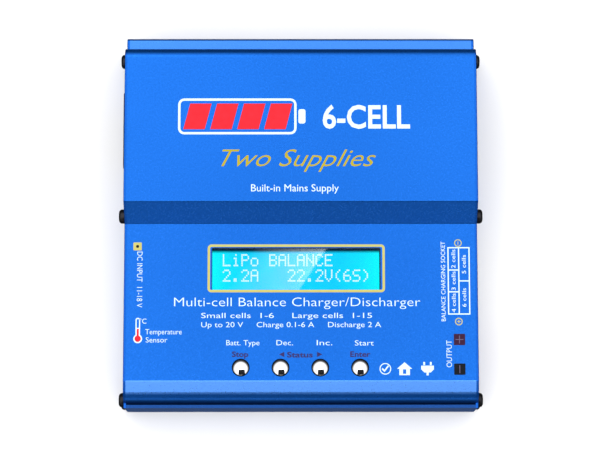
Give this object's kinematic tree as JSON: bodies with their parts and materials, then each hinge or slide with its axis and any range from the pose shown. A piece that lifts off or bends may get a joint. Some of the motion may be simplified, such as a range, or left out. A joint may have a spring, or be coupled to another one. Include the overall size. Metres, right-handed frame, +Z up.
{
  "type": "balance battery charger",
  "caption": "Stepped aluminium battery charger with a two-line display, domed push buttons, balance sockets, output jacks, mains inlet and a cooling fan.",
  "frame": {"origin": "on the table, below the middle of the case", "axes": "+Z up, +Y to the rear, +X to the right-hand side seen from the front"},
  "size_m": [0.1394, 0.144, 0.036],
  "materials": {
    "cover_blue": "blue anodised, fine bead-blasted grain",
    "tray_blue": "blue anodised, fine bead-blasted grain",
    "plate_blue": "blue anodised, fine bead-blasted grain",
    "screw_black": "black oxide",
    "screw_zinc": "zinc plated",
    "foot_rubber": "matte",
    "window_clear": "clear, glossy",
    "bezel_steel": "black paint on steel",
    "lcd_glass": "glossy",
    "backlight": "lit cyan light guide",
    "board_green": "solder mask",
    "header_black": "moulded",
    "button_chrome": "polished",
    "package_black": "moulded epoxy",
    "post_nickel": "nickel plated",
    "can_dark": "shrink sleeve",
    "copper_winding": "enamelled copper",
    "ferrite": "sintered ferrite",
    "tape_yellow": "polyester tape",
    "capacitor_yellow": "moulded box",
    "bare_aluminium": "mill finish",
    "pad_grey": "silicone pad",
    "socket_white": "moulded nylon",
    "pin_tin": "tin plated",
    "jack_red": "moulded",
    "jack_black": "moulded",
    "contact_brass": "turned",
    "inlet_black": "moulded",
    "sheet_clear": "polyester sheet",
    "fuse_glass": "clear",
    "lead_black": "insulated wire",
    "fan_black": "moulded",
    "cable_white": "flat cable"
  },
  "bodies": {
    "case": {"ac_inlet": "inlet_black", "ac_inlet_blades": "pin_tin", "balance_board": "board_green", "balance_cable": "cable_white", "balance_socket_2_cell": "socket_white", "balance_socket_3_cell": "socket_white", "balance_socket_4_cell": "socket_white", "balance_socket_5_cell": "socket_white", "balance_socket_6_cell": "socket_white", "board_screws": "screw_zinc", "board_standoffs": "post_nickel", "bottom_shell": "tray_blue", "buzzer": "package_black", "charger_capacitors": "can_dark", "clamp_bar": "bare_aluminium", "clamp_screws": "screw_black", "dc_input_jack": "inlet_black", "dc_jack_pin": "pin_tin", "display_window": "window_clear", "fan_frame": "fan_black", "fan_screws": "screw_black", "filter_capacitor": "capacitor_yellow", "filter_choke": "copper_winding", "heat_sinks": "bare_aluminium", "inductors": "copper_winding", "insulation_sheet": "sheet_clear", "internal_leads": "lead_black", "lcd_backlight": "backlight", "lcd_bezel": "bezel_steel", "lcd_board": "board_green", "lcd_glass": "lcd_glass", "lcd_header": "header_black", "left_side_plate": "plate_blue", "main_board": "board_green", "mains_fuse": "fuse_glass", "microcontroller": "package_black", "negative_output_jack": "jack_black", "output_contacts": "contact_brass", "output_nuts": "post_nickel", "positive_output_jack": "jack_red", "power_transistors": "package_black", "right_side_plate": "plate_blue", "rubber_feet": "foot_rubber", "side_screws": "screw_black", "socket_pins": "pin_tin", "supply_board": "board_green", "supply_capacitors": "can_dark", "supply_transistors": "package_black", "switch_housings": "package_black", "temperature_socket": "socket_white", "thermal_pads": "pad_grey", "top_cover": "cover_blue", "transformer_core": "ferrite", "transformer_winding": "tape_yellow"},
    "stop_button": {"stop_button": "button_chrome"},
    "decrease_button": {"decrease_button": "button_chrome"},
    "increase_button": {"increase_button": "button_chrome"},
    "start_button": {"start_button": "button_chrome"},
    "fan": {"fan_rotor": "fan_black"}
  },
  "joints": [
    {"name": "stop_button_press", "type": "slide", "parent": "case", "child": "stop_button", "axis": [0, 0, -1], "range_m": [0, 0.0003], "stiffness_N_per_m": 5000},
    {"name": "decrease_button_press", "type": "slide", "parent": "case", "child": "decrease_button", "axis": [0, 0, -1], "range_m": [0, 0.0003], "stiffness_N_per_m": 5000},
    {"name": "increase_button_press", "type": "slide", "parent": "case", "child": "increase_button", "axis": [0, 0, -1], "range_m": [0, 0.0003], "stiffness_N_per_m": 5000},
    {"name": "start_button_press", "type": "slide", "parent": "case", "child": "start_button", "axis": [0, 0, -1], "range_m": [0, 0.0003], "stiffness_N_per_m": 5000},
    {"name": "fan_spin", "type": "hinge", "parent": "case", "child": "fan", "pos_m": [0.0606, 0.035, 0.0189], "axis": [1, 0, 0], "continuous": true}
  ]
}
